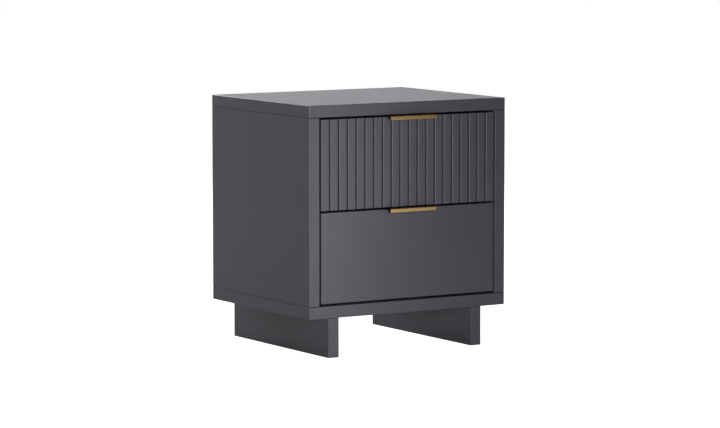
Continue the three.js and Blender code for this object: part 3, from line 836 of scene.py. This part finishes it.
def add_cage(drawer, side_name, side, ring):
    """A strip bent to a shallow channel, with windows in its web and steel balls held in both its edges."""
    s = Section(f"{drawer}_{side_name}_{ring}_ball_cage", side)
    body = f"{drawer}_{ring}_ball_cages"
    web, leg_end = CAGE_SHEET / 2, s.depth
    ball_v = s.half - BALL_RADIUS
    path = [(leg_end, ball_v, 0), (web, ball_v, 0.8 * MM), (web, -ball_v, 0.8 * MM), (leg_end, -ball_v, 0)]
    length = s.high.y - s.low.y
    windows = [s.window(length * share, 15 * MM, 0.45 * s.half, radius=3 * MM) for share in (0.2, 0.5, 0.8)]
    strip = smooth(carved(s.sheet(path, CAGE_SHEET), *windows))
    new_piece(f"{s.node}_strip", strip, "ball_cage", body, s.node)
    slide_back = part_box(f"{drawer}_{side_name}_cabinet_slide")
    u = BALL_DEPTH[ring] - (max(abs(slide_back[0].x), abs(slide_back[1].x)) - s.near)
    places = []
    for v in (ball_v, -ball_v):
        for n in range(BALLS_PER_ROW):
            y = s.low.y + length * (n + 0.5) / BALLS_PER_ROW
            places.append(Matrix.Translation(s.place(u, v, y)))
    ball = mesh_from(lambda bm: bmesh.ops.create_uvsphere(bm, u_segments=16, v_segments=10,
                                                          radius=BALL_RADIUS))
    new_piece(f"{s.node}_balls", smooth(copies(ball, *places)), "polished_steel", body)


def add_slides(drawer):
    for side_name, side in SIDES.items():
        add_cabinet_member(drawer, side_name, side)
        add_middle_member(drawer, side_name, side)
        add_drawer_member(drawer, side_name, side)
        for ring in BALL_DEPTH:
            add_cage(drawer, side_name, side, ring)


# ---- Assembly ------------------------------------------------------------------------------------

node_finish = {part["node"]: part["material_slot"] for part in frame["record"]["subparts"]}
for node, cad_object in frame["nodes"].items():
    cad_object.data.materials.clear()
    cad_object.data.materials.append(FINISHES[node_finish[node]])

side_low, side_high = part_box("left_side_panel")
for board in ("top", "bottom", "left_side", "right_side", "left_leg", "right_leg"):
    add_eased(f"{board}_panel", "lacquered_board", "cabinet", joint_levels=(side_low.z, side_high.z))
add_eased("back_panel", "hardboard", "cabinet", 0.2 * MM, 1)
add_cabinet_fasteners()
for drawer in DRAWERS:
    add_drawer(drawer)
    add_slides(drawer)


# ---- Stage, lights and camera --------------------------------------------------------------------


def add_floor(name, height, shown):
    """A pale floor, shown to the camera alone, or unseen and throwing light back at the cabinet."""
    size = 30.0
    corners = [(-size, -size, height), (size, -size, height), (size, size, height), (-size, size, height)]
    mesh = bpy.data.meshes.new(name)
    mesh.from_pydata(corners, [], [(0, 1, 2, 3)])
    floor = bpy.data.objects.new(name, mesh)
    bpy.context.collection.objects.link(floor)
    s = Shader(name)
    s.set(Base_Color=(0.8, 0.8, 0.8, 1), Roughness=0.9)
    mesh.materials.append(s.material)
    floor.visible_camera = shown
    floor.visible_diffuse = floor.visible_glossy = floor.visible_shadow = not shown
    if shown:
        s.set(Emission_Color=(1, 1, 1, 1), Emission_Strength=FLOOR_GLOW)


def add_softbox(name, place, target, width, height, power, spread=180, color=(1, 1, 1)):
    """A soft rectangular light at a place, turned to a target, that the camera doesn't see."""
    data = bpy.data.lights.new(name, "AREA")
    data.shape = "RECTANGLE"
    data.size = width
    data.size_y = height
    data.energy = power
    data.color = color
    data.spread = math.radians(spread)
    light = bpy.data.objects.new(name, data)
    bpy.context.collection.objects.link(light)
    light.location = place
    light.rotation_mode = "QUATERNION"
    light.rotation_quaternion = (Vector(target) - Vector(place)).to_track_quat("-Z", "Y")
    light.visible_camera = False


def add_camera():
    a, e = math.radians(CAMERA_AZIMUTH), math.radians(CAMERA_ELEVATION)
    back = Vector((math.sin(a) * math.cos(e), -math.cos(a) * math.cos(e), math.sin(e)))
    data = bpy.data.cameras.new("camera")
    data.lens = CAMERA_LENS
    data.sensor_width = CAMERA_SENSOR
    data.clip_end = 100
    camera = bpy.data.objects.new("camera", data)
    bpy.context.collection.objects.link(camera)
    camera.location = middle + Vector((0, 0, CAMERA_RAISE)) + back * CAMERA_DISTANCE
    camera.rotation_mode = "QUATERNION"
    camera.rotation_quaternion = (-back).to_track_quat("-Z", "Y")
    bpy.context.scene.camera = camera


def add_world():
    """A white surround that the camera sees and that adds no light of its own."""
    world = bpy.data.worlds.new("studio")
    world.use_nodes = True
    background = world.node_tree.nodes["Background"]
    background.inputs["Color"].default_value = (1, 1, 1, 1)
    background.inputs["Strength"].default_value = 1.0
    bpy.context.scene.world = world
    world.cycles_visibility.diffuse = False
    world.cycles_visibility.glossy = False


def around(azimuth, elevation, distance):
    """A place at a distance from the middle of the cabinet, by azimuth and elevation in degrees."""
    a, e = math.radians(azimuth), math.radians(elevation)
    return middle + distance * Vector((math.sin(a) * math.cos(e), -math.cos(a) * math.cos(e), math.sin(e)))


def add_lights():
    """A key at the front left, soft light from behind for the sheen on the top, and weak fills."""
    front = (0, -0.2, 0.3)
    violet = (1.0, 0.96, 1.01)
    add_softbox("key", (-0.65, -1.8, 0.5), front, 0.35, 0.35, power=21.8)
    add_softbox("key_accent", (-0.15, -1.0, 0.55), (-0.25, -0.2, 0.3), 0.4, 1.0, power=0.5, spread=40)
    add_softbox("low_fill", (0.22, -1.2, 0.2), front, 0.35, 0.35, power=0.72)
    add_softbox("back", around(-175, 22, 3.5), middle, 2.0, 1.0, power=93, color=violet)
    add_softbox("back_right", around(155, 22, 3.5), middle, 2.0, 1.0, power=13.5, color=violet)
    add_softbox("back_low", around(-160, 5, 3.5), middle, 2.0, 1.0, power=5.7, color=violet)
    add_softbox("right_fill", around(90, 32, 3.0), middle, 1.05, 1.05, power=12)


middle = (cad_low + cad_high) / 2
add_camera()
add_floor("floor", 0, True)
add_floor("floor_bounce", -0.1 * MM, False)
add_world()
add_lights()
bpy.context.scene.view_settings.view_transform = "Standard"
